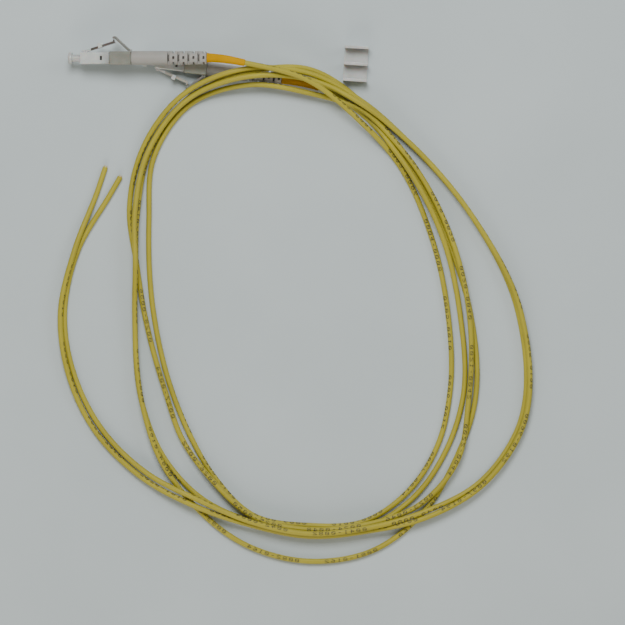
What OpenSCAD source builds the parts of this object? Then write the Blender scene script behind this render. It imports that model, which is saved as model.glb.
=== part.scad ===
// Two-leg fibre optic cord. Each leg is a 2 mm single-fibre cord with a small
// latching plug at one end and a bare cut end at the other. Both legs lie wound
// together in three loose turns, with a loose duplex clip beside them.
//
// Frame: millimetres, +Z up. The origin is on the surface that everything lies on,
// under the middle of the box round the two plugs and the clip. +X runs along
// plug A from its nose to its boot. +Y is the way that the latch of plug A points.
//
// Each plug is drawn in its own frame first: X along the plug from the front face
// of its nose to the rear, Y towards its latch, Z across. A trailing _x is a
// distance along that axis.

/* [Cord] */
// Outside diameter of the cord's jacket
cord_d = 2.0; // [1.8:0.1:2.1]
// Bore of the jacket, which the yarn fills
jacket_bore_d = 1.5; // [1.3:0.1:1.6]
// Diameter of the tight buffer on the fibre
buffer_d = 0.9; // [0.8:0.05:0.95]
// Length of the straight cut end of each leg
cut_length = 8.0; // [4:0.5:12]
// How far the buffer stands out of the cut jacket
buffer_out = 0.3; // [0:0.1:1]

/* [Front housing] */
// Width and height of the square nose
nose_w = 4.5; // [4.3:0.1:4.8]
// Length of the front housing
nose_len = 11.1; // [10.6:0.1:12]
// Diameter of the opening round the ferrule
nose_bore_d = 3.0; // [2.9:0.1:3.3]
// Depth of that opening
nose_bore_depth = 2.2; // [1.8:0.1:2.6]
// Thickness of the wall that stops the ferrule's flange
stop_wall = 0.5; // [0.3:0.1:0.9]
// Round off the long edges of both housings
edge_cut = 0.35; // [0.1:0.05:0.5]
// Snap window in each side, along the plug
window_len = 0.8; // [0.6:0.1:1.2]
// Snap window in each side, across the plug
window_h = 1.6; // [1.2:0.1:2.2]
// Distance from the front face to the snap window
window_x = 7.7; // [7:0.1:8.6]

/* [Latch] */
// Distance from the front face to the latch's bending line
latch_x = 2.6; // [2:0.1:3.2]
// Rise of the latch arm
latch_rise = 17.5; // [15:0.5:18]
// Length of the latch arm from its bending line
latch_len = 10.9; // [10.4:0.1:11.2]
// Thickness of the latch arm
latch_t = 0.9; // [0.6:0.05:1]
// Width of the latch arm
latch_w = 2.6; // [2:0.1:3.2]
// Width over the two locking lugs
lug_w = 4.3; // [3.8:0.1:4.5]
// Length of a locking lug
lug_len = 1.5; // [1:0.1:2]
// Distance along the arm to the locking lugs
lug_x = 4.6; // [4:0.1:5.2]
// How far the lugs stand above the arm
lug_rise = 0.8; // [0.4:0.1:1]
// Height of the post at the end of the arm, which the trigger presses
post_h = 0.6; // [0.45:0.05:0.65]

/* [Rear housing and trigger] */
// Width of the rear housing, flat side to flat side
rear_w = 5.3; // [5:0.1:5.6]
// Height of the rear housing
rear_h = 5.0; // [4.8:0.1:5.2]
// Length of the rear housing
rear_len = 8.3; // [8:0.1:9]
// Length of the square neck that plugs into the front housing
neck_len = 5.1; // [4.6:0.1:5.4]
// Outer width of that neck
neck_w = 3.3; // [3.2:0.05:3.35]
// Trigger length from its bending line to its knee
trigger_len = 6.9; // [6.7:0.1:7.1]
// Rise of the trigger arm
trigger_rise = 43; // [42:1:44]
// Thickness of the trigger arm
trigger_t = 0.9; // [0.7:0.05:1.1]
// Width of the trigger
trigger_w = 3.8; // [3:0.1:4.4]
// Length of the flat pad at the trigger's tip
pad_len = 0.6; // [0.4:0.1:1.2]

/* [Ferrule and spring] */
// Diameter of the ceramic ferrule
ferrule_d = 1.249; // [1.245:0.001:1.252]
// Length of the ferrule
ferrule_len = 6.4; // [6:0.1:7]
// How far the ferrule stands out of the nose
ferrule_out = 1.9; // [1.5:0.1:2.1]
// Diameter of the metal flange behind the ferrule
flange_d = 2.9; // [2.6:0.05:3]
// Thickness of that flange
flange_t = 1.5; // [1.2:0.1:1.8]
// Diameter of the flange's tail, inside the spring
tail_d = 1.7; // [1.5:0.05:1.8]
// Length of the tail
tail_len = 9.2; // [8.6:0.1:9.6]
// How far the ferrule can be pushed back against its spring
ferrule_travel = 0.5; // [0.3:0.1:0.8]
// Mean diameter of the spring's coils
spring_d = 2.3; // [2.2:0.05:2.4]
// Wire diameter of the spring
spring_wire = 0.35; // [0.25:0.05:0.4]
// Number of coils in the spring
spring_turns = 7; // [5:1:8]

/* [Backbone and crimp] */
// Diameter of the backbone, inside the rear housing
backbone_d = 4.1; // [3.8:0.1:4.2]
// Diameter of the spigot that the yarn is crimped to
spigot_d = 2.6; // [2.4:0.05:2.8]
// Length of the spigot behind the rear housing
spigot_len = 5.2; // [4.5:0.1:6]
// Wall of the crimp ring
crimp_wall = 0.35; // [0.25:0.05:0.45]
// Length of the crimp ring
crimp_len = 4.6; // [3.8:0.1:4.9]

/* [Boot and sleeve] */
// Diameter of the boot at its front
boot_d = 5.3; // [5:0.1:5.5]
// Diameter of the boot at its rear end
boot_end_d = 4.9; // [4.5:0.1:5.2]
// Length of the boot
boot_len = 28.6; // [28:0.1:29.2]
// Length of the smooth front part, before the first slot
boot_smooth = 13.9; // [13:0.1:14.5]
// Number of rings of slots
boot_rings = 8; // [4:1:8]
// Distance between rings of slots
boot_pitch = 1.9; // [1.6:0.05:1.9]
// Width of a slot
slot_w = 0.75; // [0.4:0.05:1]
// Thickness of the liner that the slots leave round the cord
boot_liner = 0.3; // [0.2:0.05:0.4]
// Width of the two bridges across each odd ring of slots
bridge_w = 1.6; // [1:0.1:2.4]
// Width of the four bridges across each even ring of slots
rung_w = 1.1; // [0.8:0.1:1.4]
// Height of the small slot between two of those four
peep_h = 1.1; // [0.8:0.1:1.3]
// Diameter of the sleeve where it meets the boot
sleeve_d = 3.6; // [3.4:0.1:4]
// Diameter of the sleeve at its far end
sleeve_end_d = 2.6; // [2.4:0.1:3]

/* [Dust cap] */
// Diameter of the dust cap's flange
cap_d = 4.4; // [4:0.1:4.5]
// Thickness of that flange
cap_t = 1.5; // [1:0.1:2]
// Diameter of the cap's neck
cap_neck_d = 2.7; // [2.4:0.05:2.8]
// Length of the neck that shows in front of the nose
cap_reach = 3.0; // [2.8:0.1:3.6]
// How deep the neck goes into the nose
cap_depth = 2.0; // [1.4:0.1:2.1]

/* [Duplex clip] */
// Distance between the two plugs that the clip holds
clip_pitch = 6.25; // [6.1:0.05:6.4]
// Thickness of the clip's walls
clip_wall = 0.9; // [0.7:0.05:1.1]
// Thickness of the clip's base
clip_base = 1.0; // [0.8:0.1:1.4]
// Height of the clip's walls above the base
clip_depth = 4.6; // [4:0.1:5.2]
// Length of the clip
clip_len = 9.0; // [8:0.5:10]
// How far each snap lip reaches over its channel
clip_lip = 0.2; // [0.1:0.05:0.25]

/* [Where the pieces lie] */
// Height of the nose of plug A above the surface, to its axis
plug_a_height = 6.0; // [5.9:0.1:6.5]
// Upward slope of plug A, whose boot passes over the nose of plug B
plug_a_slope = 6; // [5.75:0.25:7]
// Turn of plug B towards the coil
plug_b_turn = 7.6; // [7:0.1:8]
// Turn of the clip
clip_turn = 3.5; // [0:0.5:4]

/* [Hidden] */

$fn = 48;

// Clearances: eps carries a cut past a face, play parts two moving pieces that
// touch in use, snug is left between fixed pieces that slide together.
eps = 0.5;
play = 0.05;
snug = 0.03;

// Stations along a plug
flange_x = nose_bore_depth + stop_wall + play;
tail_x = flange_x + flange_t;
tail_end_x = tail_x + tail_len;
neck_x = nose_len - neck_len;
rear_end_x = nose_len + rear_len;
backbone_x = nose_len + 0.7;
spigot_x = rear_end_x - 0.4;
spigot_end_x = rear_end_x + spigot_len;
jacket_x = spigot_end_x + 0.4;
boot_end_x = rear_end_x + boot_len;
boot_bore_d = cord_d + 0.3;
tail_bore_d = buffer_d + 0.1;
crimp_bore_d = spigot_d + 2 * snug;
crimp_d = crimp_bore_d + 2 * crimp_wall;

// Bending lines, as [x, y] in the plug's frame
root_r = latch_t / 2;
latch_pivot = [latch_x, nose_w / 2 + root_r + play];
trigger_root_r = trigger_t / 2;
trigger_pivot = [rear_end_x - 0.9, rear_h / 2 + trigger_root_r + play];
knee = trigger_pivot + trigger_len * [-cos(trigger_rise), sin(trigger_rise)];

// Where the plugs lie: the front face of each nose, and the way its axis runs
plug_a_at = [-51.9, 1.5, plug_a_height];
plug_b_at = [-23.7, 0.1, rear_w / 2];
plug_a_way = [cos(plug_a_slope), 0, sin(plug_a_slope)];
plug_b_way = [cos(plug_b_turn), -sin(plug_b_turn), 0];
clip_at = [51.8, -0.5, 0];
clip_w = 2 * clip_pitch + clip_wall;
channel_w = clip_pitch - clip_wall;

// Route of each leg. It leaves the crimp straight along the boot, bends through the
// sleeve, then winds clockwise round coil_centre in three turns. Each station is
// [clock angle from +Y in degrees, distance from the centre, height], and a turn is
// 360. Lying on the surface, the cord's centre is at height lie.
coil_centre = [34, -94];
lie = 1.05;
sleeve_route_a = [[3.0, 0.9, 11.6], [10.0, -0.4, 11.3]];
sleeve_route_b = [[31.0, -7.4, 2.6], [38.0, -9.4, 2.3]];
turns_a = [
    [0, 87.0, 9.2], [15, 74.5, 5.3], [30, 66.0, lie], [60, 54.0, lie],
    [90, 52.5, lie], [120, 61.5, lie], [135, 69.5, lie], [150, 77.0, lie],
    [165, 81.7, lie], [180, 80.5, lie], [195, 79.5, lie], [210, 71.5, lie],
    [225, 64.0, lie], [240, 59.5, lie], [270, 58.5, lie], [300, 69.5, lie],
    [315, 82.5, lie], [330, 90.0, lie], [345, 88.5, 4.9],
    [360, 82.5, 4.0], [375, 78.5, 3.3], [390, 70.5, 3.2], [420, 61.0, 3.2],
    [450, 60.5, 3.2], [480, 69.5, 2.6], [495, 79.3, 3.4], [510, 83.8, 2.8],
    [525, 83.0, 3.5], [540, 82.0, 3.5], [555, 80.0, 3.5], [570, 73.0, 3.2],
    [585, 67.5, 1.8], [600, 62.0, 2.1], [630, 62.0, 1.6], [645, 67.0, lie],
    [660, 78.0, lie], [675, 88.0, 2.6], [690, 94.5, 5.4], [705, 94.5, 8.7],
    [720, 89.8, 5.8], [735, 81.5, 3.3], [750, 74.5, lie], [780, 71.5, lie],
    [810, 79.0, lie], [840, 90.5, lie], [855, 91.0, 1.5], [870, 87.0, 3.6],
    [885, 84.3, 5.8], [900, 83.5, 5.6], [915, 82.0, 5.4], [930, 82.0, 4.8],
    [945, 86.0, 2.7], [960, 89.5, lie], [990, 92.0, lie], [1005, 90.0, lie]];
turns_b = [
    [15, 77.5, lie], [30, 68.0, 3.3], [60, 58.0, 3.3], [90, 57.0, 2.0],
    [120, 67.0, lie], [135, 73.5, lie], [150, 80.2, lie], [165, 84.2, lie],
    [180, 83.5, lie], [195, 82.0, lie], [210, 81.0, lie], [225, 77.3, lie],
    [240, 72.0, lie], [270, 65.5, 1.6], [285, 67.5, 3.3], [300, 74.5, 2.6],
    [315, 85.0, lie], [330, 92.3, 1.6], [345, 93.0, 6.8],
    [360, 91.5, 3.6], [375, 81.0, lie], [390, 69.8, lie], [420, 59.2, lie],
    [450, 61.0, lie], [480, 72.0, lie], [495, 78.5, lie], [510, 87.0, lie],
    [525, 93.2, lie], [540, 94.0, lie], [555, 91.0, lie], [570, 85.0, lie],
    [585, 78.8, 3.5], [600, 72.0, 3.5], [630, 65.5, 4.1], [645, 67.5, 5.8],
    [660, 75.5, 5.1], [675, 85.5, 3.6], [690, 92.0, 4.3], [705, 91.5, 9.1],
    [720, 87.5, 6.4], [735, 80.5, 5.4], [750, 74.5, 3.4], [780, 71.5, 3.4],
    [810, 80.0, 3.2], [840, 92.0, 3.1], [855, 92.5, 3.1], [870, 89.3, 3.6],
    [885, 85.5, 3.6], [900, 84.5, 3.5], [915, 83.2, 3.3], [930, 84.7, 3.9],
    [945, 88.5, 1.8], [960, 92.0, lie], [990, 93.5, 3.1], [1005, 91.2, 3.2]];
// Straight cut end of each leg: where it starts and the way it points
cut_at_a = [-41.0, -50.0, lie];
cut_at_b = [-45.1, -47.0, lie];
cut_way_a = [0.5, 0.866, 0];
cut_way_b = [0.314, 0.949, 0];

function unit(v) = v / norm(v);

function station(s) = [
    coil_centre.x + s[1] * sin(s[0]),
    coil_centre.y + s[1] * cos(s[0]),
    s[2]];

function route(at, way, sleeve, turns, cut) = concat(
    [at + jacket_x * way, at + (jacket_x + boot_end_x) / 2 * way, at + boot_end_x * way],
    sleeve, [for (s = turns) station(s)], [cut]);

// Direction of the route at point i: the slope there of a curve through that point
// and its two neighbours
function slope(p, i) =
    let (back = norm(p[i] - p[i - 1]), on = norm(p[i + 1] - p[i]))
    (on * (p[i] - p[i - 1]) / back + back * (p[i + 1] - p[i]) / on) / (back + on);

function slopes(p, way, cut_way) = [for (i = [0 : len(p) - 1])
    i < 3 ? way : i == len(p) - 1 ? cut_way : slope(p, i)];

// Point a share f of the way from point i to the next, kept off the surface
function between(p, t, i, f) =
    let (d = norm(p[i + 1] - p[i]),
        q = (2 * f ^ 3 - 3 * f ^ 2 + 1) * p[i] + (f ^ 3 - 2 * f ^ 2 + f) * d * t[i]
            + (3 * f ^ 2 - 2 * f ^ 3) * p[i + 1] + (f ^ 3 - f ^ 2) * d * t[i + 1])
    [q.x, q.y, max(q.z, cord_d / 2 + 0.02)];

// A ring at every station, and one half way where two lie far apart or a sleeve bends
wide_step = 25.5;
function centres(p, t) = [for (i = [0 : len(p) - 1])
    each i < len(p) - 1 && (i == 2 || i == 3 || norm(p[i + 1] - p[i]) > wide_step)
        ? [p[i], between(p, t, i, 0.5)] : [p[i]]];

route_a = route(plug_a_at, plug_a_way, sleeve_route_a, turns_a, cut_at_a);
route_b = route(plug_b_at, plug_b_way, sleeve_route_b, turns_b, cut_at_b);

function leg_centres(p, way, cut_way) = centres(p, slopes(p, way, cut_way));
centres_a = leg_centres(route_a, plug_a_way, cut_way_a);
centres_b = leg_centres(route_b, plug_b_way, cut_way_b);

// Least gap between two tubes of the cord: from points along the first to the
// straight stretches of the second, at least apart stretches further on
function to_stretch(q, a, b) =
    let (v = b - a, f = max(0, min(1, (q - a) * v / (v * v)))) norm(q - a - f * v);
function least_gap(c, other, apart) = min([
    for (i = [0 : len(c) - 2]) for (f = [0, 0.25, 0.5, 0.75])
        let (q = c[i] + f * (c[i + 1] - c[i]))
        for (k = [(apart > 0 ? i + apart : 0) : 1 : len(other) - 2])
            to_stretch(q, other[k], other[k + 1])]) - cord_d;

// ---- Swept tubes -------------------------------------------------------------

// Directions along a row of centres, with given ones at both ends
function ways(c, first, last) = [for (i = [0 : len(c) - 1])
    i == 0 ? first : i == len(c) - 1 ? last : slope(c, i)];

// One ring of a tube of radius r round c, square to way. up picks its first corner.
function ring(c, way, up, r, sides) =
    let (across = unit(cross(way, up)), rise = unit(cross(across, way)))
    [for (k = [0 : sides - 1])
        let (turn = 360 * k / sides) c + r * (rise * cos(turn) + across * sin(turn))];

// Triangles between two rings that start at points i and j
function band(i, j, sides, inward = false) = [for (k = [0 : sides - 1]) each
    let (n = (k + 1) % sides)
    inward ? [[i + k, j + k, j + n], [i + k, j + n, i + n]]
        : [[i + k, j + n, j + k], [i + k, i + n, j + n]]];

// Solid tube through centres c, with directions t and corner directions ups
module tube(c, t, ups, r, sides) {
    last = len(c) - 1;
    polyhedron(
        points = concat([for (i = [0 : last]) each ring(c[i], t[i], ups[i], r, sides)],
            [c[0], c[last]]),
        faces = concat(
            [for (i = [0 : last - 1]) each band(i * sides, (i + 1) * sides, sides)],
            [for (k = [0 : sides - 1]) [(last + 1) * sides, (k + 1) % sides, k]],
            [for (k = [0 : sides - 1]) [(last + 1) * sides + 1, last * sides + k,
                last * sides + (k + 1) % sides]]),
        convexity = 10);
}

// Tapered pipe along centres c, with outer radii outer and bore radius inner
module pipe(c, t, outer, inner, sides) {
    last = len(c) - 1;
    rings = last + 1;
    polyhedron(
        points = concat(
            [for (i = [0 : last]) each ring(c[i], t[i], [0, 0, 1], outer[i], sides)],
            [for (i = [0 : last]) each ring(c[i], t[i], [0, 0, 1], inner, sides)]),
        faces = concat(
            [for (i = [0 : last - 1]) each band(i * sides, (i + 1) * sides, sides)],
            [for (i = [0 : last - 1]) each
                band((rings + i) * sides, (rings + i + 1) * sides, sides, true)],
            band(rings * sides, 0, sides),
            band(last * sides, (rings + last) * sides, sides)),
        convexity = 10);
}

// ---- Shapes in a plug's own frame --------------------------------------------

// Round bar along X from x0 to x1
module round_bar(x0, x1, d) {
    translate([x0, 0, 0]) rotate([0, 90, 0]) cylinder(h = x1 - x0, d = d);
}

// Bar along X from x0 to x1, height along Y and width along Z, long edges cut
module box_bar(x0, x1, high, wide, cut = 0) {
    y = high / 2;
    z = wide / 2;
    translate([x0, 0, 0]) rotate([90, 0, 90]) linear_extrude(x1 - x0)
        polygon(cut == 0 ? [[-y, -z], [y, -z], [y, z], [-y, z]]
            : [[-y + cut, -z], [y - cut, -z], [y, -z + cut], [y, z - cut],
                [y - cut, z], [-y + cut, z], [-y, z - cut], [-y, -z + cut]]);
}

// Flat strip of thickness t between points a and b of the X-Y plane, wide along Z
module strip(a, b, t, wide) {
    along = b - a;
    translate([a.x, a.y, -wide / 2]) rotate([0, 0, atan2(along.y, along.x)])
        translate([0, -t / 2, 0]) cube([norm(along), t, wide]);
}

// Pin along Z at point a of the X-Y plane
module cross_pin(a, r, wide) {
    translate([a.x, a.y, -wide / 2]) cylinder(h = wide, r = r);
}

// Rib that a moulded arm bends in, with a groove round the arm's root. side is
// 1 where the rib stands on the far side of the root and -1 on the near side.
module root_rib(pivot, r, side, long, wide) {
    low = pivot.y - r - play - 0.4;
    difference() {
        translate([side > 0 ? pivot.x : pivot.x - long, low, -wide / 2])
            cube([long, pivot.y + 0.7 * r - low, wide]);
        cross_pin(pivot, r + play, wide + 2 * eps);
    }
}

module place_a() {
    translate(plug_a_at) rotate([0, -plug_a_slope, 0]) children();
}

module place_b() {
    translate(plug_b_at) rotate([0, 0, -plug_b_turn]) rotate([180, 0, 0]) children();
}

// ---- Pieces of one plug ------------------------------------------------------

socket_w = neck_w + 2 * snug;
spring_room_d = spring_d + spring_wire + 0.15;
ferrule_hole_d = ferrule_d + 2 * play;
front_cut = 0.25;

module snap_window(height_less, length_less) {
    for (side = [-1, 1])
        translate([window_x + window_len / 2, 0, side * nose_w / 2])
            cube([window_len - length_less, window_h - height_less, nose_w - neck_w + 2 * eps],
                center = true);
}

module front_housing() {
    color("gainsboro") {
        difference() {
            box_bar(0, nose_len, nose_w, nose_w, edge_cut);
            for (turn = [0 : 90 : 270]) rotate([turn, 0, 0]) translate([0, nose_w / 2, 0])
                rotate([0, 0, 45]) cube([front_cut * sqrt(2), front_cut * sqrt(2), 2 * nose_w],
                    center = true);
            round_bar(-eps, nose_bore_depth, nose_bore_d);
            round_bar(0, flange_x, ferrule_hole_d);
            round_bar(flange_x - play, neck_x + eps, flange_d + 4 * play);
            box_bar(neck_x - snug, nose_len + eps, socket_w, socket_w);
            snap_window(0, 0);
        }
        root_rib(latch_pivot, root_r, -1, 2, latch_w);
    }
}

latch_end = latch_pivot + latch_len * [cos(latch_rise), sin(latch_rise)];

module latch() {
    along = [cos(latch_rise), sin(latch_rise)];
    square_to = [-along.y, along.x];
    curl_r = 0.3;
    curl = latch_end + (latch_t / 2 + post_h - curl_r) * square_to;
    lug_start = latch_pivot + lug_x * along + lug_rise / 2 * square_to;
    lug_in = 0.4;
    color("gainsboro") {
        cross_pin(latch_pivot, root_r, latch_w);
        strip(latch_pivot, latch_end + curl_r * along, latch_t, latch_w);
        for (side = [-1, 1]) translate([0, 0, side * (lug_w + latch_w - 2 * lug_in) / 4])
            strip(lug_start, lug_start + lug_len * along, latch_t + lug_rise,
                (lug_w - latch_w) / 2 + lug_in);
        strip(latch_end, curl, 2 * curl_r, latch_w);
        cross_pin(curl, curl_r, latch_w);
    }
}

module rear_housing() {
    backbone_room_d = backbone_d + 2 * snug;
    color("lightgray") {
        difference() {
            union() {
                box_bar(nose_len, rear_end_x, rear_h, rear_w, edge_cut);
                box_bar(neck_x, nose_len, neck_w, neck_w);
                intersection() {
                    snap_window(4 * snug, 4 * snug);
                    box_bar(neck_x, nose_len, nose_w, nose_w - 0.3);
                }
            }
            round_bar(neck_x - eps, backbone_x, spring_room_d);
            round_bar(backbone_x, rear_end_x + eps, backbone_room_d);
        }
        root_rib(trigger_pivot, trigger_root_r, 1, rear_end_x - trigger_pivot.x, trigger_w);
    }
}

module trigger() {
    tip = knee - [pad_len, 0];
    color("lightgray") {
        cross_pin(trigger_pivot, trigger_root_r, trigger_w);
        strip(trigger_pivot, knee, trigger_t, trigger_w);
        cross_pin(knee, trigger_t / 2, trigger_w);
        strip(knee, tip, trigger_t, trigger_w);
        cross_pin(tip, trigger_t / 2, trigger_w);
    }
}

ferrule_end_x = ferrule_len - ferrule_out;
buffer_x = ferrule_end_x + ferrule_travel + play;

module ferrule() {
    tip_r = 0.3;
    color("white") rotate([0, 90, 0]) rotate_extrude()
        polygon([[0, -ferrule_out], [ferrule_d / 2 - tip_r, -ferrule_out],
            [ferrule_d / 2, -ferrule_out + tip_r], [ferrule_d / 2, ferrule_end_x],
            [0, ferrule_end_x]]);
}

module ferrule_flange() {
    key = 0.5;
    color("silver") difference() {
        union() {
            round_bar(flange_x, tail_x, flange_d);
            round_bar(tail_x - play, tail_end_x, tail_d);
        }
        round_bar(flange_x - eps, ferrule_end_x, ferrule_d);
        round_bar(flange_x, tail_end_x + eps, tail_bore_d);
        for (turn = [0 : 90 : 270]) rotate([turn, 0, 0])
            translate([flange_x - eps, flange_d / 2 - key / 2, -key / 2])
                cube([flange_t + eps - 0.4, key, key]);
    }
}

// The spring is drawn pushed back by the ferrule's travel, seated on the backbone
spring_x0 = tail_x + ferrule_travel + play;
spring_steps = 8;
module spring() {
    r = spring_d / 2;
    x0 = spring_x0 + spring_wire;
    x1 = backbone_x - spring_wire;
    count = spring_turns * spring_steps;
    coil = [for (i = [0 : count]) let (turn = 360 * i / spring_steps)
        [x0 + (x1 - x0) * i / count, r * cos(turn), r * sin(turn)]];
    c = concat([[spring_x0, r, 0]], coil, [[backbone_x, r, 0]]);
    ups = [for (p = c) [0, p.y, p.z]];
    color("silver") tube(c, ways(c, [1, 0, 0], [1, 0, 0]), ups, spring_wire / 2, 6);
}

module backbone() {
    tail_room_d = tail_d + 2 * play;
    tail_room_x = tail_end_x + ferrule_travel + 0.3;
    grooves = 4;
    color("dimgray") difference() {
        union() {
            round_bar(backbone_x, spigot_x, backbone_d);
            round_bar(spigot_x - play, spigot_end_x, spigot_d);
        }
        round_bar(backbone_x - eps, tail_room_x, tail_room_d);
        round_bar(backbone_x, spigot_end_x + eps, buffer_d + 0.2);
        for (i = [1 : grooves]) difference() {
            round_bar(rear_end_x + i, rear_end_x + i + 0.3, spigot_d + eps);
            round_bar(rear_end_x, rear_end_x + grooves + 1, spigot_d - 0.3);
        }
    }
}

module crimp_ring() {
    x0 = rear_end_x + 0.3;
    color("goldenrod") difference() {
        round_bar(x0, x0 + crimp_len, crimp_d);
        round_bar(x0 - eps, x0 + crimp_len + eps, crimp_bore_d);
    }
}

module buffer() {
    color("khaki") round_bar(buffer_x, jacket_x, buffer_d);
}

// Ring of slots of the boot, cut down to the liner round the cord. A bar across it
// at each of these heights is left as bridges.
module boot_slot(x, bar_w, heights) {
    across = 2 * boot_d;
    difference() {
        translate([x, -across / 2, -across / 2]) cube([slot_w, across, across]);
        for (h = heights) translate([x - eps, h - bar_w / 2, -across / 2 - eps])
            cube([slot_w + 2 * eps, bar_w, across + 2 * eps]);
        round_bar(x - eps, x + slot_w + eps, boot_bore_d + 2 * boot_liner);
    }
}

module boot() {
    r0 = boot_d / 2;
    r1 = boot_end_d / 2;
    soft = 0.3;
    taper_x = rear_end_x + boot_smooth;
    rung_h = (peep_h + rung_w) / 2;
    color("whitesmoke") difference() {
        rotate([0, 90, 0]) rotate_extrude()
            polygon([[0, rear_end_x], [r0 - soft, rear_end_x], [r0, rear_end_x + soft],
                [r0, taper_x], [r1, boot_end_x - soft], [r1 - soft, boot_end_x],
                [0, boot_end_x]]);
        round_bar(rear_end_x - eps, spigot_end_x + 0.1, crimp_d + 2 * snug);
        round_bar(rear_end_x, boot_end_x + eps, boot_bore_d);
        for (i = [0 : boot_rings - 1]) let (x = taper_x + i * boot_pitch)
            if (i % 2 == 0) rotate([90, 0, 0]) boot_slot(x, bridge_w, [0]);
            else boot_slot(x, rung_w, rung_h * [-1, 1]);
    }
}

cap_bore_d = ferrule_d + 0.05;
module dust_cap() {
    soft = 0.3;
    flange_front = -cap_reach - cap_t;
    color("white") rotate([0, 90, 0]) rotate_extrude()
        polygon([[0, flange_front], [cap_d / 2 - soft, flange_front],
            [cap_d / 2, flange_front + soft], [cap_d / 2, -cap_reach],
            [cap_neck_d / 2, -cap_reach], [cap_neck_d / 2, cap_depth],
            [cap_bore_d / 2, cap_depth], [cap_bore_d / 2, -ferrule_out - 0.4],
            [0, -ferrule_out - 0.4]]);
}

// ---- Cords, sleeves and cut ends ---------------------------------------------

module leg(c, way, cut_way) {
    color("gold") tube(c, ways(c, way, cut_way), [for (p = c) [0, 0, 1]], cord_d / 2, 6);
}

// The sleeve shrunk over the cord behind the boot follows the cord's first rings
sleeve_rings = 5;
module sleeve(c, way) {
    front = [for (i = [2 : sleeve_rings + 1]) c[i]];
    t = ways(c, way, way);
    color("orange") pipe(front, [for (i = [2 : sleeve_rings + 1]) i == 2 ? way : t[i]],
        [for (i = [0 : sleeve_rings - 1])
            (sleeve_d + (sleeve_end_d - sleeve_d) * i / (sleeve_rings - 1)) / 2],
        cord_d / 2 + play, 12);
}

// What shows at a cut end, drawn along X and turned to lie on from where the leg ends
module at_cut(at, way) {
    translate(at) rotate([0, 0, atan2(way.y, way.x)]) children();
}

yarn_d = jacket_bore_d - 2 * snug;
yarn_bore_d = buffer_d + 2 * snug;

module cut_end() {
    color("gold") difference() {
        round_bar(0, cut_length, cord_d);
        round_bar(-eps, cut_length + eps, jacket_bore_d);
    }
}

module yarn_end() {
    color("lightyellow") difference() {
        round_bar(0, cut_length - 0.1, yarn_d);
        round_bar(-eps, cut_length + eps, yarn_bore_d);
    }
}

module buffer_end() {
    color("khaki") round_bar(0, cut_length + buffer_out, buffer_d);
}

// ---- Duplex clip -------------------------------------------------------------

clip_height = clip_base + clip_depth;

// Outline of one channel, down one side and up the other, with a snap lip on each
function channel(centre) =
    let (lip_h = 0.5, half = channel_w / 2, top = clip_height, under = top - lip_h)
    [[centre + half, top], [centre + half - clip_lip, top - lip_h / 2],
        [centre + half, under], [centre + half, clip_base],
        [centre - half, clip_base], [centre - half, under],
        [centre - half + clip_lip, top - lip_h / 2], [centre - half, top]];

module duplex_clip() {
    side = clip_w / 2;
    color("white") translate(clip_at) rotate([0, 0, -clip_turn])
        translate([-clip_len / 2, 0, 0]) rotate([90, 0, 90]) linear_extrude(clip_len)
            polygon(concat([[-side, 0], [side, 0], [side, clip_height]],
                channel(clip_pitch / 2), channel(-clip_pitch / 2),
                [[-side, clip_height]]));
}

// ---- Nodes -------------------------------------------------------------------

leg(centres_a, plug_a_way, cut_way_a);  // cord_a
leg(centres_b, plug_b_way, cut_way_b);  // cord_b
at_cut(cut_at_a, cut_way_a) cut_end();  // cut_end_a
at_cut(cut_at_b, cut_way_b) cut_end();  // cut_end_b
at_cut(cut_at_a, cut_way_a) yarn_end();  // yarn_end_a
at_cut(cut_at_b, cut_way_b) yarn_end();  // yarn_end_b
at_cut(cut_at_a, cut_way_a) buffer_end();  // buffer_end_a
at_cut(cut_at_b, cut_way_b) buffer_end();  // buffer_end_b
place_a() front_housing();  // front_housing_a
place_b() front_housing();  // front_housing_b
place_a() latch();  // latch_a
place_b() latch();  // latch_b
place_a() rear_housing();  // rear_housing_a
place_b() rear_housing();  // rear_housing_b
place_a() trigger();  // trigger_a
place_b() trigger();  // trigger_b
place_a() ferrule();  // ferrule_a
place_b() ferrule();  // ferrule_b
place_a() ferrule_flange();  // ferrule_flange_a
place_b() ferrule_flange();  // ferrule_flange_b
place_a() spring();  // spring_a
place_b() spring();  // spring_b
place_a() backbone();  // backbone_a
place_b() backbone();  // backbone_b
place_a() crimp_ring();  // crimp_ring_a
place_b() crimp_ring();  // crimp_ring_b
place_a() buffer();  // buffer_a
place_b() buffer();  // buffer_b
place_a() boot();  // boot_a
place_b() boot();  // boot_b
sleeve(centres_a, plug_a_way);  // sleeve_a
sleeve(centres_b, plug_b_way);  // sleeve_b
place_a() dust_cap();  // dust_cap_a
place_b() dust_cap();  // dust_cap_b
duplex_clip();

echo(least_gap_within_leg_a = least_gap(centres_a, centres_a, 6));  // cord_a
echo(least_gap_within_leg_b = least_gap(centres_b, centres_b, 6),  // cord_b
        least_gap_between_legs = least_gap(centres_a, centres_b, 0));
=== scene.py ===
import math
import random

import bmesh
import bpy
from mathutils import Matrix, Vector


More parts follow.
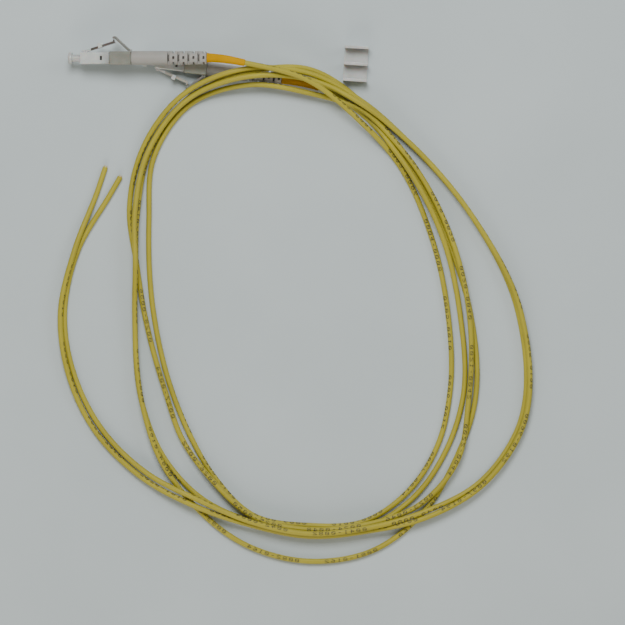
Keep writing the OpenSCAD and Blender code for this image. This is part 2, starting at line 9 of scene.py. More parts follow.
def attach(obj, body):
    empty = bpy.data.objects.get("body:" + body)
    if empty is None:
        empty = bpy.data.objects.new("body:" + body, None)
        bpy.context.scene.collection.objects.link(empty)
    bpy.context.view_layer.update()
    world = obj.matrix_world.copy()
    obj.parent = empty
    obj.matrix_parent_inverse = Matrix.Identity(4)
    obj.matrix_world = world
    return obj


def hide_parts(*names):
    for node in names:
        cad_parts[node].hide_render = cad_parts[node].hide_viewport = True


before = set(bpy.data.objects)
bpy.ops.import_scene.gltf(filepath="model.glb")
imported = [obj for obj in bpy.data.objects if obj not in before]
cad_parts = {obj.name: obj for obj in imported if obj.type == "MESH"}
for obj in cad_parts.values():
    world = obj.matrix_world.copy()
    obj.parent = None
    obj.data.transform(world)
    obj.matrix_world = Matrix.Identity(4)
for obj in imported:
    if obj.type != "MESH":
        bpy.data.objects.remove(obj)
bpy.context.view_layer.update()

MM = 0.001
TURN = 2 * math.pi
UP = Vector((0, 0, 1))
scene = bpy.context.scene

# ---- Sizes and places of the cord and the plugs, in metres ----------------------

CORD_D = 2.0 * MM
JACKET_BORE_D = 1.5 * MM
CUT_LENGTH = 8.0 * MM

# Distances along a plug, from the front of its nose
JACKET_START = 25.0 * MM
BOOT_END = 48.0 * MM

# Plug A rises towards its tail, over plug B and the coil; plug B lies flat, turned over
PLUG_AXIS = Vector((1, 0, 0))
PLUG_A_AT = Vector((-51.9, 1.5, 6.0)) * MM
PLUG_B_AT = Vector((-23.7, 0.1, 2.65)) * MM
PLUG_A_SLOPE = math.radians(6.0)
PLUG_B_TURN = math.radians(7.6)
PLUG_A = Matrix.Translation(PLUG_A_AT) @ Matrix.Rotation(-PLUG_A_SLOPE, 4, "Y")
PLUG_B = (Matrix.Translation(PLUG_B_AT) @ Matrix.Rotation(-PLUG_B_TURN, 4, "Z")
          @ Matrix.Rotation(math.pi, 4, "X"))
PLUGS = {"a": PLUG_A, "b": PLUG_B}
ROOT = "cords_and_plugs"

# ---- Camera -------------------------------------------------------------------

# It looks straight down on the coil, from far enough to keep the plugs' true outline
PICTURE_WIDTH = 0.2358
VIEW_CENTRE = (0.0355, -0.0942)
LENS = 400.0
SENSOR = 36.0
camera_data = bpy.data.cameras.new("camera")
camera_data.lens = LENS
camera_data.sensor_width = SENSOR
camera = bpy.data.objects.new("camera", camera_data)
camera.location = (*VIEW_CENTRE, PICTURE_WIDTH * LENS / SENSOR)
scene.collection.objects.link(camera)
scene.camera = camera


# ---- Materials ----------------------------------------------------------------

# A noise scale is in spots to a metre, and a relief's distance is its depth in metres.

def shader_of(material):
    return material.node_tree.nodes["Principled BSDF"]


def new_material(name, colour, roughness=0.5, **sockets):
    """A Principled material, with the shader's own sockets set by name."""
    material = bpy.data.materials.new(name)
    material.use_nodes = True
    shader = shader_of(material)
    shader.inputs["Base Color"].default_value = (*colour, 1.0)
    shader.inputs["Roughness"].default_value = roughness
    for socket, value in sockets.items():
        shader.inputs[socket.replace("_", " ")].default_value = value
    return material


def add_node(material, kind, **settings):
    node = material.node_tree.nodes.new(kind)
    for name, value in settings.items():
        setattr(node, name, value)
    return node


def noise(material, scale, detail=4.0, stretch=(1, 1, 1), use_uv=False):
    """A noise texture on Object coordinates, or on the piece's own UV map."""
    tree = material.node_tree
    place = add_node(material, "ShaderNodeTexCoord")
    mapping = add_node(material, "ShaderNodeMapping")
    mapping.inputs["Scale"].default_value = stretch
    texture = add_node(material, "ShaderNodeTexNoise")
    texture.inputs["Scale"].default_value = scale
    texture.inputs["Detail"].default_value = detail
    tree.links.new(place.outputs["UV" if use_uv else "Object"], mapping.inputs["Vector"])
    tree.links.new(mapping.outputs["Vector"], texture.inputs["Vector"])
    return texture.outputs["Fac"]


def ramp(material, factor, stops):
    """The colour that a factor picks between stops of (factor, colour)."""
    node = add_node(material, "ShaderNodeValToRGB")
    elements = node.color_ramp.elements
    while len(elements) < len(stops):
        elements.new(0.5)
    for element, (place, colour) in zip(elements, stops):
        element.position = place
        element.color = (*colour, 1.0)
    material.node_tree.links.new(factor, node.inputs["Fac"])
    return node.outputs["Color"]


def mottle(material, scale, dark, light):
    """Varies the base colour between two close ones."""
    colour = ramp(material, noise(material, scale), [(0.3, dark), (0.7, light)])
    material.node_tree.links.new(colour, shader_of(material).inputs["Base Color"])


def uneven_gloss(material, scale, low, high):
    """Varies the roughness between two values."""
    grey = ramp(material, noise(material, scale, 3.0),
                [(0.3, (low,) * 3), (0.7, (high,) * 3)])
    material.node_tree.links.new(grey, shader_of(material).inputs["Roughness"])


def relief(material, height, distance, strength=1.0):
    """Bump from a height, on top of any bump that the shader already has."""
    tree = material.node_tree
    shader = shader_of(material)
    bump = add_node(material, "ShaderNodeBump")
    bump.inputs["Strength"].default_value = strength
    bump.inputs["Distance"].default_value = distance
    if shader.inputs["Normal"].is_linked:
        tree.links.new(shader.inputs["Normal"].links[0].from_socket, bump.inputs["Normal"])
    tree.links.new(height, bump.inputs["Height"])
    tree.links.new(bump.outputs["Normal"], shader.inputs["Normal"])


def jacket_material():
    """Yellow cable jacket: a soft sheen, a faint drawn grain along it and handling marks."""
    material = new_material("cord jacket", (0.383, 0.336, 0.032), 0.5,
                            Specular_IOR_Level=0.25)
    mottle(material, 60.0, (0.349, 0.304, 0.028), (0.417, 0.368, 0.037))
    uneven_gloss(material, 900.0, 0.42, 0.56)
    relief(material, noise(material, 1.0, 2.0, (400.0, 40.0, 1.0), use_uv=True),
           0.02 * MM, 0.5)
    return material


def ink_material():
    """Black ink that lets a little yellow through."""
    material = new_material("printed ink", (0.015, 0.015, 0.012), 0.6)
    mottle(material, 1500.0, (0.008, 0.008, 0.008), (0.05, 0.047, 0.025))
    return material


def translucent_plastic(name, colour, low, high, transmission, roughness):
    """Clear moulded plastic, clouded by its wall and lightly marked by the tool. Its
    colour is mottled from low to high."""
    material = new_material(name, colour, roughness, Transmission_Weight=transmission,
                            IOR=1.58, Subsurface_Weight=0.25, Subsurface_Scale=0.0015)
    mottle(material, 320.0, low, high)
    relief(material, noise(material, 2600.0, 2.0), 0.006 * MM, 0.5)
    relief(material, noise(material, 180.0, 2.0), 0.03 * MM, 0.35)
    return material


def darker_towards_back(material, place, start, end, share):
    """Paints shade into the colour: fades the base colour to a share of itself along a plug,
    from one x to another.
    """
    tree = material.node_tree
    shader = shader_of(material)
    into_plug = add_node(material, "ShaderNodeMapping", vector_type="TEXTURE")
    into_plug.inputs["Location"].default_value = place.translation
    into_plug.inputs["Rotation"].default_value = place.to_euler()
    tree.links.new(add_node(material, "ShaderNodeTexCoord").outputs["Object"],
                   into_plug.inputs["Vector"])
    along = add_node(material, "ShaderNodeSeparateXYZ")
    tree.links.new(into_plug.outputs["Vector"], along.inputs[0])
    fade = add_node(material, "ShaderNodeMapRange")
    for socket, value in (("From Min", start), ("From Max", end), ("To Min", 1.0),
                          ("To Max", share)):
        fade.inputs[socket].default_value = value
    tree.links.new(along.outputs["X"], fade.inputs["Value"])
    dimmed = add_node(material, "ShaderNodeVectorMath", operation="SCALE")
    tree.links.new(shader.inputs["Base Color"].links[0].from_socket, dimmed.inputs[0])
    tree.links.new(fade.outputs["Result"], dimmed.inputs["Scale"])
    tree.links.new(dimmed.outputs["Vector"], shader.inputs["Base Color"])
    return material


def boot_material():
    """Warm white moulded rubber, matt with a fine spark-eroded grain."""
    material = new_material("boot rubber", (0.325, 0.32, 0.30), 0.6,
                            Subsurface_Weight=0.08, Subsurface_Scale=0.0005)
    mottle(material, 140.0, (0.30, 0.295, 0.275), (0.35, 0.345, 0.325))
    relief(material, noise(material, 5200.0, 2.0), 0.01 * MM, 0.6)
    return material


def sleeve_material():
    """Orange-yellow rubber without a gloss, drawn along its length."""
    material = new_material("sleeve rubber", (0.52, 0.272, 0.0), 0.55, Specular_IOR_Level=0.0)
    mottle(material, 200.0, (0.48, 0.248, 0.0), (0.56, 0.296, 0.0))
    relief(material, noise(material, 1.0, 3.0, (220.0, 9.0, 1.0), use_uv=True),
           0.05 * MM, 0.5)
    return material


def shade_material(name, colour):
    """Painted shade for the dark floor of a narrow opening."""
    material = new_material(name, colour, 0.9)
    mottle(material, 400.0, tuple(0.75 * c for c in colour), tuple(1.25 * c for c in colour))
    return material


def cap_material():
    """White soft plastic that lets a little light in."""
    material = new_material("cap plastic", (0.58, 0.60, 0.58), 0.35, Transmission_Weight=0.3,
                            Subsurface_Weight=0.3, Subsurface_Scale=0.002)
    mottle(material, 240.0, (0.55, 0.57, 0.55), (0.62, 0.64, 0.62))
    relief(material, noise(material, 3000.0, 2.0), 0.006 * MM, 0.4)
    return material


def ceramic_material():
    """Ground and polished white ceramic."""
    material = new_material("zirconia", (0.88, 0.86, 0.82), 0.12, Coat_Weight=0.5)
    mottle(material, 900.0, (0.86, 0.84, 0.79), (0.90, 0.89, 0.86))
    return material


def metal_material(name, colour, roughness, grain=(1, 1, 1)):
    """Bare metal with a patchy gloss. The grain stretches its tool marks along an axis."""
    material = new_material(name, colour, roughness, Metallic=1.0)
    mottle(material, 500.0, tuple(0.86 * c for c in colour), colour)
    uneven_gloss(material, 1400.0, 0.7 * roughness, 1.3 * roughness)
    relief(material, noise(material, 700.0, 2.0, grain), 0.008 * MM, 0.5)
    return material


def yarn_material():
    """Golden yarn with a silky sheen."""
    material = new_material("aramid yarn", (0.60, 0.46, 0.13), 0.6, Sheen_Weight=0.2)
    mottle(material, 2600.0, (0.48, 0.35, 0.08), (0.68, 0.55, 0.20))
    return material


def buffer_material():
    """Cream coat of the fibre."""
    material = new_material("buffer coat", (0.85, 0.80, 0.58), 0.35,
                            Subsurface_Weight=0.3, Subsurface_Scale=0.0005)
    mottle(material, 1200.0, (0.80, 0.74, 0.50), (0.88, 0.84, 0.64))
    return material


def floor_material():
    """Pale matt board with faint clouds."""
    material = new_material("pale board", (0.490, 0.565, 0.59), 0.75)
    mottle(material, 14.0, (0.470, 0.545, 0.57), (0.510, 0.585, 0.61))
    relief(material, noise(material, 1800.0, 3.0), 0.02 * MM, 0.35)
    return material


JACKET = jacket_material()
INK = ink_material()

NOSE = translucent_plastic("nose plastic", (0.61, 0.645, 0.635), (0.55, 0.585, 0.575),
                           (0.67, 0.705, 0.695), 0.15, 0.16)
# Painted shade: the clear wall's colour darkens towards its back half, where the metal flange
# and the spring lie behind it
FADE_FROM = 6.0 * MM
FADE_TO = 11.0 * MM
FADED_SHARE = 0.72
NOSE_WALL_WITH_PAINTED_SHADE = {}
for leg, place in PLUGS.items():
    wall = translucent_plastic("nose wall " + leg, (0.60, 0.645, 0.635),
                               (0.54, 0.585, 0.575), (0.66, 0.705, 0.695), 0.15, 0.16)
    NOSE_WALL_WITH_PAINTED_SHADE[leg] = darker_towards_back(wall, place, FADE_FROM, FADE_TO, FADED_SHARE)

# Painted shade on the latch arms' side faces: the upper latch is seen on edge and is painted
# dark there, the lower one is seen from its flat and is painted a lighter shade
LATCH_EDGE_SHADES = {
    "a": translucent_plastic("nose plastic on edge", (0.085, 0.07, 0.062),
                             (0.06, 0.05, 0.044), (0.12, 0.10, 0.09), 0.1, 0.2),
    "b": translucent_plastic("nose plastic from its flat", (0.42, 0.40, 0.34),
                             (0.37, 0.352, 0.295), (0.47, 0.448, 0.385), 0.15, 0.2),
}

BODY = translucent_plastic("body plastic", (0.275, 0.29, 0.25), (0.24, 0.255, 0.215),
                           (0.31, 0.325, 0.285), 0.25, 0.2)
# Painted shade: the triggers' side faces are seen on edge and are painted darker than the
# body plastic
BODY_EDGE_SHADE = translucent_plastic("body plastic on edge", (0.20, 0.205, 0.185),
                                (0.16, 0.165, 0.15), (0.26, 0.265, 0.24), 0.25, 0.2)
# Painted light: the lower plug lies in the other one's shade, so its clear body is painted
# lighter than the upper one's to look as pale
LOWER_BODY_PAINTED_LIGHT = translucent_plastic("body plastic of the lower plug", (0.385, 0.40, 0.34),
                                 (0.345, 0.36, 0.30), (0.425, 0.44, 0.38), 0.25, 0.2)
BODIES = {"a": BODY, "b": LOWER_BODY_PAINTED_LIGHT}

CLIP = translucent_plastic("clip plastic", (0.60, 0.62, 0.61), (0.55, 0.57, 0.56),
                           (0.66, 0.68, 0.67), 0.2, 0.22)
BOOT = boot_material()
SLOT_SHADE = shade_material("boot slot in shade", (0.125, 0.117, 0.107))
WINDOW_SHADES = {"a": shade_material("window in shade", (0.022, 0.021, 0.019)),
                 "b": SLOT_SHADE}
SLEEVE = sleeve_material()
CAP = cap_material()
ZIRCONIA = ceramic_material()
NICKEL = metal_material("nickel", (0.62, 0.60, 0.55), 0.28)
STEEL = metal_material("spring steel", (0.60, 0.60, 0.62), 0.25)
BACKBONE = metal_material("turned metal", (0.42, 0.41, 0.40), 0.35, (6, 1, 1))
CRIMP = metal_material("crimp metal", (0.72, 0.52, 0.22), 0.32)
YARN = yarn_material()
BUFFER = buffer_material()


# ---- Route of each leg --------------------------------------------------------

# A leg leaves the crimp straight along the boot, bends through the sleeve, winds clockwise
# round the coil's centre and ends in a straight cut end. The points below are in
# millimetres.
COIL_CENTRE = Vector((34.0, -94.0, 0.0)) * MM
SLEEVE_ROUTE = {
    "a": [(3.0, 0.9, 11.6), (10.0, -0.4, 11.3)],
    "b": [(31.0, -7.4, 2.6), (38.0, -9.4, 2.3)],
}
# The height of a cord's middle where it lies on the surface
lie = 1.05
# A station is (clock angle from +Y in degrees, distance from the centre, height)
TURNS = {
    "a": [
        (0, 87.0, 9.2), (15, 74.5, 5.3), (30, 66.0, lie), (60, 54.0, lie),
        (90, 52.5, lie), (120, 61.5, lie), (135, 69.5, lie), (150, 77.0, lie),
        (165, 81.7, lie), (180, 80.5, lie), (195, 79.5, lie), (210, 71.5, lie),
        (225, 64.0, lie), (240, 59.5, lie), (270, 58.5, lie), (300, 69.5, lie),
        (315, 82.5, lie), (330, 90.0, lie), (345, 88.5, 4.9),
        (360, 82.5, 4.0), (375, 78.5, 3.3), (390, 70.5, 3.2), (420, 61.0, 3.2),
        (450, 60.5, 3.2), (480, 69.5, 2.6), (495, 79.3, 3.4), (510, 83.8, 2.8),
        (525, 83.0, 3.5), (540, 82.0, 3.5), (555, 80.0, 3.5), (570, 73.0, 3.2),
        (585, 67.5, 1.8), (600, 62.0, 2.1), (630, 62.0, 1.6), (645, 67.0, lie),
        (660, 78.0, lie), (675, 88.0, 2.6), (690, 94.5, 5.4), (705, 94.5, 8.7),
        (720, 89.8, 5.8), (735, 81.5, 3.3), (750, 74.5, lie), (780, 71.5, lie),
        (810, 79.0, lie), (840, 90.5, lie), (855, 91.0, 1.5), (870, 87.0, 3.6),
        (885, 84.3, 5.8), (900, 83.5, 5.6), (915, 82.0, 5.4), (930, 82.0, 4.8),
        (945, 86.0, 2.7), (960, 89.5, lie), (990, 92.0, lie), (1005, 90.0, lie)],
    "b": [
        (15, 77.5, lie), (30, 68.0, 3.3), (60, 58.0, 3.3), (90, 57.0, 2.0),
        (120, 67.0, lie), (135, 73.5, lie), (150, 80.2, lie), (165, 84.2, lie),
        (180, 83.5, lie), (195, 82.0, lie), (210, 81.0, lie), (225, 77.3, lie),
        (240, 72.0, lie), (270, 65.5, 1.6), (285, 67.5, 3.3), (300, 74.5, 2.6),
        (315, 85.0, lie), (330, 92.3, 1.6), (345, 93.0, 6.8),
        (360, 91.5, 3.6), (375, 81.0, lie), (390, 69.8, lie), (420, 59.2, lie),
        (450, 61.0, lie), (480, 72.0, lie), (495, 78.5, lie), (510, 87.0, lie),
        (525, 93.2, lie), (540, 94.0, lie), (555, 91.0, lie), (570, 85.0, lie),
        (585, 78.8, 3.5), (600, 72.0, 3.5), (630, 65.5, 4.1), (645, 67.5, 5.8),
        (660, 75.5, 5.1), (675, 85.5, 3.6), (690, 92.0, 4.3), (705, 91.5, 9.1),
        (720, 87.5, 6.4), (735, 80.5, 5.4), (750, 74.5, 3.4), (780, 71.5, 3.4),
        (810, 80.0, 3.2), (840, 92.0, 3.1), (855, 92.5, 3.1), (870, 89.3, 3.6),
        (885, 85.5, 3.6), (900, 84.5, 3.5), (915, 83.2, 3.3), (930, 84.7, 3.9),
        (945, 88.5, 1.8), (960, 92.0, lie), (990, 93.5, 3.1), (1005, 91.2, 3.2)],
}
CUT_AT = {"a": Vector((-41.0, -50.0, lie)) * MM, "b": Vector((-45.1, -47.0, lie)) * MM}
CUT_WAY = {"a": Vector((0.5, 0.866, 0.0)).normalized(),
           "b": Vector((0.314, 0.949, 0.0)).normalized()}
# Distances along a plug of the route's points inside its boot
IN_BOOT = (JACKET_START, (JACKET_START + BOOT_END) / 2, BOOT_END)
ROUTE_STEP = 1.6 * MM
OFF_SURFACE = 0.02 * MM


def route_points(leg):
    """Points of a leg's route up to its cut end, in metres."""
    plug_way = PLUGS[leg].to_3x3() @ PLUG_AXIS
    points = [PLUGS[leg].translation + plug_way * along for along in IN_BOOT]
    points += [Vector(p) * MM for p in SLEEVE_ROUTE[leg]]
    for clock, radius, height in TURNS[leg]:
        angle = math.radians(clock)
        points.append(COIL_CENTRE + Vector((radius * math.sin(angle),
                                            radius * math.cos(angle), height)) * MM)
    return points + [CUT_AT[leg]]


def slope(points, i):
    """Direction at point i of a curve through it and its two neighbours."""
    back, on = points[i] - points[i - 1], points[i + 1] - points[i]
    return (back * (on.length / back.length) + on * (back.length / on.length)) / (
        back.length + on.length)


def between(points, ways, i, s):
    """Point a share s of the way from point i to the next, on a smooth curve that is kept
    off the surface."""
    start, end = points[i], points[i + 1]
    reach = (end - start).length
    place = (start * (2 * s**3 - 3 * s**2 + 1) + ways[i] * reach * (s**3 - 2 * s**2 + s)
             + end * (3 * s**2 - 2 * s**3) + ways[i + 1] * reach * (s**3 - s**2))
    place.z = max(place.z, CORD_D / 2 + OFF_SURFACE)
    return place


def centreline(leg):
    """Close points along a leg, from its crimp to its cut tip."""
    points = route_points(leg)
    plug_way = PLUGS[leg].to_3x3() @ PLUG_AXIS
    bends = [slope(points, i) for i in range(len(IN_BOOT), len(points) - 1)]
    ways = [plug_way] * len(IN_BOOT) + bends + [CUT_WAY[leg]]
    line = []
    for i in range(len(points) - 1):
        count = max(2, round((points[i + 1] - points[i]).length / ROUTE_STEP))
        line += [between(points, ways, i, k / count) for k in range(count)]
    tip = CUT_AT[leg] + CUT_WAY[leg] * CUT_LENGTH
    straight = round(CUT_LENGTH / ROUTE_STEP)
    return line + [CUT_AT[leg].lerp(tip, k / straight) for k in range(straight + 1)]


# ---- Mesh helpers -------------------------------------------------------------

def make_object(name, mesh_or_bm, material, sharp_from=40.0):
    """An object of one material, smooth but at edges that turn by more degrees than this."""
    if isinstance(mesh_or_bm, bmesh.types.BMesh):
        mesh = bpy.data.meshes.new(name)
        mesh_or_bm.to_mesh(mesh)
        mesh_or_bm.free()
    else:
        mesh = mesh_or_bm
    mesh.materials.clear()
    mesh.materials.append(material)
    mesh.shade_smooth()
    mesh.set_sharp_from_angle(angle=math.radians(sharp_from))
    piece = bpy.data.objects.new(name, mesh)
    scene.collection.objects.link(piece)
    return piece


def evaluated_mesh(holder):
    """The plain mesh that an object's modifiers make."""
    return bpy.data.meshes.new_from_object(
        holder.evaluated_get(bpy.context.evaluated_depsgraph_get()))


def settle(piece, body, slot, *nodes):
    """The piece rides on a body and stands for these CAD nodes; the slot is not used."""
    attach(piece, body)
    if nodes:
        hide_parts(*nodes)
    return piece


def length_of(line):
    return sum((b - a).length for a, b in zip(line[:-1], line[1:]))


def way_at(line, i):
    """Direction of a line at its point i."""
    return (line[min(i + 1, len(line) - 1)] - line[max(i - 1, 0)]).normalized()


def round_points(centre, radius, rise, across, sides):
    """Points of a circle, from rise towards across."""
    return [centre + radius * (rise * math.cos(TURN * k / sides)
                               + across * math.sin(TURN * k / sides))
            for k in range(sides)]


def upright_frames(line):
    """(across, rise) at each point of a line, square to it, with rise nearest to up."""
    frames = []
    for i in range(len(line)):
        way = way_at(line, i)
        across = way.cross(UP).normalized()
        frames.append((across, across.cross(way).normalized()))
    return frames


def swept_pipe(line, outer, inner, sides):
    """A pipe along a line with its own outer radius at each point, closed at both ends.
    Its UV map holds the distance along it and the way round it, in metres."""
    bm = bmesh.new()
    uv = bm.loops.layers.uv.new("along")
    frames = upright_frames(line)
    run = [0.0]
    for a, b in zip(line[:-1], line[1:]):
        run.append(run[-1] + (b - a).length)

    def ring(i, radius):
        across, rise = frames[i]
        return [bm.verts.new(point)
                for point in round_points(line[i], radius, rise, across, sides)]

    def band(first, second, i, j, radius, flip):
        for k in range(sides):
            n = (k + 1) % sides
            corners = [first[k], first[n], second[n], second[k]]
            places = [(run[i], k), (run[i], k + 1), (run[j], k + 1), (run[j], k)]
            if flip:
                corners.reverse()
                places.reverse()
            face = bm.faces.new(corners)
            for loop, (along, turn) in zip(face.loops, places):
                loop[uv].uv = (along, turn * TURN * radius / sides)

    last = len(line) - 1
    outside = [ring(i, outer[i]) for i in range(last + 1)]
    inside = [ring(i, inner) for i in range(last + 1)]
    for i in range(last):
        band(outside[i], outside[i + 1], i, i + 1, outer[i], False)
        band(inside[i], inside[i + 1], i, i + 1, inner, True)
    band(inside[0], outside[0], 0, 0, inner, False)
    band(outside[last], inside[last], last, last, inner, False)
    return bm


# ---- Cords --------------------------------------------------------------------

LINES = {leg: centreline(leg) for leg in "ab"}
CORD_SIDES = 20
# The blade rounds the mouth of the cut by this, over the last ring
CUT_ROUNDING = 0.04 * MM
for leg, line in LINES.items():
    radii = [CORD_D / 2] * (len(line) - 1) + [CORD_D / 2 - CUT_ROUNDING]
    tube = swept_pipe(line, radii, JACKET_BORE_D / 2, CORD_SIDES)
    cord = make_object("cord_jacket_" + leg, tube, JACKET, 60.0)
    settle(cord, ROOT, "cord_jacket", "cord_" + leg, "cut_end_" + leg)

# ---- Printed numbers ----------------------------------------------------------

# A running count, printed in dots by an ink jet. One row of five dots is one word.
DIGITS = {
    "0": "01110 10001 10011 10101 11001 10001 01110",
    "1": "00100 01100 00100 00100 00100 00100 01110",
    "2": "01110 10001 00001 00110 01000 10000 11111",
    "3": "01110 10001 00001 00110 00001 10001 01110",
    "4": "00010 00110 01010 10010 11111 00010 00010",
    "5": "11111 10000 11110 00001 00001 10001 01110",
    "6": "00110 01000 10000 11110 10001 10001 01110",
    "7": "11111 00001 00010 00100 01000 01000 01000",
    "8": "01110 10001 10001 01110 10001 10001 01110",
    "9": "01110 10001 10001 01111 00001 00010 01100",
    "-": "00000 00000 00000 01110 00000 00000 00000",
}
MIDDLE_ROW = 3
# Steps from dot to dot along the cord and across the line of print
DOT_ALONG = 0.3 * MM
DOT_ACROSS = 0.2 * MM
DOT_LENGTH = 0.3 * MM
DOT_WIDTH = 0.25 * MM
LETTER_PITCH = 2.35 * MM
INK_RAISE = 0.012 * MM
GROUP_PITCH = 30.0 * MM
# The first group starts this far behind the boot
PRINT_START = BOOT_END - JACKET_START + 20.0 * MM
COUNT_START = {"a": 1, "b": 58}
# How far the print has turned round the cord, as (metres along the cord, turns from the
# top). The lay of the coil rolls the cord a little, so the print comes and goes.
PRINT_ROLL = {
    "a": [(0.0, -0.40), (0.16, 0.07), (0.24, 0.14), (0.33, 0.17), (0.42, 0.55), (0.63, 0.98),
          (0.69, 1.02), (0.85, 1.0), (0.88, 1.1), (1.05, 1.5), (1.23, 1.9), (1.32, 2.3),
          (1.50, 2.6)],
    "b": [(0.0, 0.50), (0.20, 0.55), (0.35, 0.92), (0.40, 1.05), (0.54, 1.35), (0.66, 1.60),
          (0.70, 1.90), (0.74, 1.97), (0.78, 2.00), (0.83, 2.10), (1.0, 2.45), (1.16, 2.85),
          (1.21, 3.06), (1.25, 3.12), (1.32, 3.16), (1.50, 3.25)],
}


def roll_at(leg, along):
    """Turns of the print at a distance along a leg, between the two nearest stations."""
    for (start, low), (end, high) in zip(PRINT_ROLL[leg][:-1], PRINT_ROLL[leg][1:]):
        if along <= end:
            return low + (high - low) * (along - start) / (end - start)
    return PRINT_ROLL[leg][-1][1]


def dots_of(leg, text, start):
    """Places of a text's dots: distance along the cord, across the line of print, and the
    print's turns round the cord."""
    places = []
    for column, letter in enumerate(text):
        at = start + column * LETTER_PITCH
        for row, word in enumerate(DIGITS[letter].split()):
            places += [(at + k * DOT_ALONG, (MIDDLE_ROW - row) * DOT_ACROSS, roll_at(leg, at))
                       for k, dot in enumerate(word) if dot == "1"]
    return places


def tree_inputs(tree, **kinds):
    """Named inputs of a node tree, after its geometry, and its geometry output."""
    tree.interface.new_socket("Geometry", in_out="INPUT", socket_type="NodeSocketGeometry")
    tree.interface.new_socket("Geometry", in_out="OUTPUT", socket_type="NodeSocketGeometry")
    for name, kind in kinds.items():
        tree.interface.new_socket(name.replace("_", " "), in_out="INPUT",
                                  socket_type="NodeSocket" + kind)
    return tree.nodes.new("NodeGroupInput").outputs, tree.nodes.new("NodeGroupOutput").inputs


def joined(tree, kind, settings=None, **links):
    """A node whose inputs are linked to sockets or set to values, by the input's name or,
    with a low line before it, by its number."""
    node = tree.nodes.new(kind)
    for name, value in (settings or {}).items():
        setattr(node, name, value)
    for name, value in links.items():
        socket = node.inputs[int(name[1:]) if name[0] == "_" else name.replace("_", " ")]
        if isinstance(value, bpy.types.NodeSocket):
            tree.links.new(value, socket)
        else:
            socket.default_value = value
    return node


def math_node(tree, operation, a, b=0.0):
    return joined(tree, "ShaderNodeMath", {"operation": operation}, _0=a, _1=b).outputs[0]


def vector_node(tree, operation, a, b=None, scale=None):
    links = {"_0": a}
    if b is not None:
        links["_1"] = b
    if scale is not None:
        links["Scale"] = scale
    return joined(tree, "ShaderNodeVectorMath", {"operation": operation}, **links).outputs[0]


def wrapped_print_tree():
    """Squares on points, wrapped round a cord: X runs along it, Y round it, and Z holds
    the turns from the top at which Y is nought."""
    tree = bpy.data.node_groups.new("wrapped print", "GeometryNodeTree")
    given, out = tree_inputs(tree, Cord_line="Object", Radius="Float", Dot_length="Float",
                             Dot_width="Float", Ink="Material")
    points = joined(tree, "GeometryNodeMeshToPoints", Mesh=given["Geometry"])
    square = joined(tree, "GeometryNodeMeshGrid", Size_X=given["Dot length"],
                    Size_Y=given["Dot width"], Vertices_X=2, Vertices_Y=2)
    dots = joined(tree, "GeometryNodeInstanceOnPoints", Points=points.outputs[0],
                  Instance=square.outputs["Mesh"])
    flat = joined(tree, "GeometryNodeRealizeInstances", Geometry=dots.outputs[0])
    place = joined(tree, "ShaderNodeSeparateXYZ",
                   _0=tree.nodes.new("GeometryNodeInputPosition").outputs[0])
    line = joined(tree, "GeometryNodeObjectInfo", _0=given["Cord line"])
    level = joined(tree, "GeometryNodeSetCurveNormal", {"mode": "Z_UP"},
                   Curve=line.outputs["Geometry"])
    spot = joined(tree, "GeometryNodeSampleCurve", {"mode": "LENGTH"},
                  Curves=level.outputs[0], Length=place.outputs["X"])
    across = vector_node(tree, "NORMALIZE", spot.outputs["Normal"])
    rise = vector_node(tree, "NORMALIZE",
                       vector_node(tree, "CROSS_PRODUCT", across, spot.outputs["Tangent"]))
    angle = math_node(tree, "ADD",
                      math_node(tree, "DIVIDE", place.outputs["Y"], given["Radius"]),
                      math_node(tree, "MULTIPLY", place.outputs["Z"], TURN))
    outward = vector_node(
        tree, "ADD",
        vector_node(tree, "SCALE", rise, scale=math_node(tree, "COSINE", angle)),
        vector_node(tree, "SCALE", across, scale=math_node(tree, "SINE", angle)))
    surface = vector_node(tree, "ADD", spot.outputs["Position"],
                          vector_node(tree, "SCALE", outward, scale=given["Radius"]))
    wrapped = joined(tree, "GeometryNodeSetPosition", Geometry=flat.outputs[0],
                     Position=surface)
    inked = joined(tree, "GeometryNodeSetMaterial", Geometry=wrapped.outputs[0],
                   Material=given["Ink"])
    tree.links.new(inked.outputs[0], out["Geometry"])
    return tree


def grown_mesh(name, seed_mesh, tree, **inputs):
    """The plain mesh that a tree makes from a mesh, with the tree's inputs set by name."""
    holder = bpy.data.objects.new(name, seed_mesh)
    scene.collection.objects.link(holder)
    modifier = holder.modifiers.new(name, "NODES")
    modifier.node_group = tree
    for item in tree.interface.items_tree:
        if item.in_out == "INPUT" and item.name.replace(" ", "_") in inputs:
            modifier[item.identifier] = inputs[item.name.replace(" ", "_")]
    bpy.context.view_layer.update()
    grown = evaluated_mesh(holder)
    holder.modifiers.clear()
    bpy.data.objects.remove(holder)
    return grown


def line_object(name, line):
    """A curve object through a line's points, for trees to read."""
    curve = bpy.data.curves.new(name, "CURVE")
    curve.dimensions = "3D"
    spline = curve.splines.new("POLY")
    spline.points.add(len(line) - 1)
    for point, place in zip(spline.points, line):
        point.co = (*place, 1.0)
    holder = bpy.data.objects.new(name, curve)
    scene.collection.objects.link(holder)
    return holder


def points_mesh(name, places):
    """A mesh of loose points, for trees to put things on."""
    mesh = bpy.data.meshes.new(name)
    mesh.from_pydata(places, [], [])
    return mesh


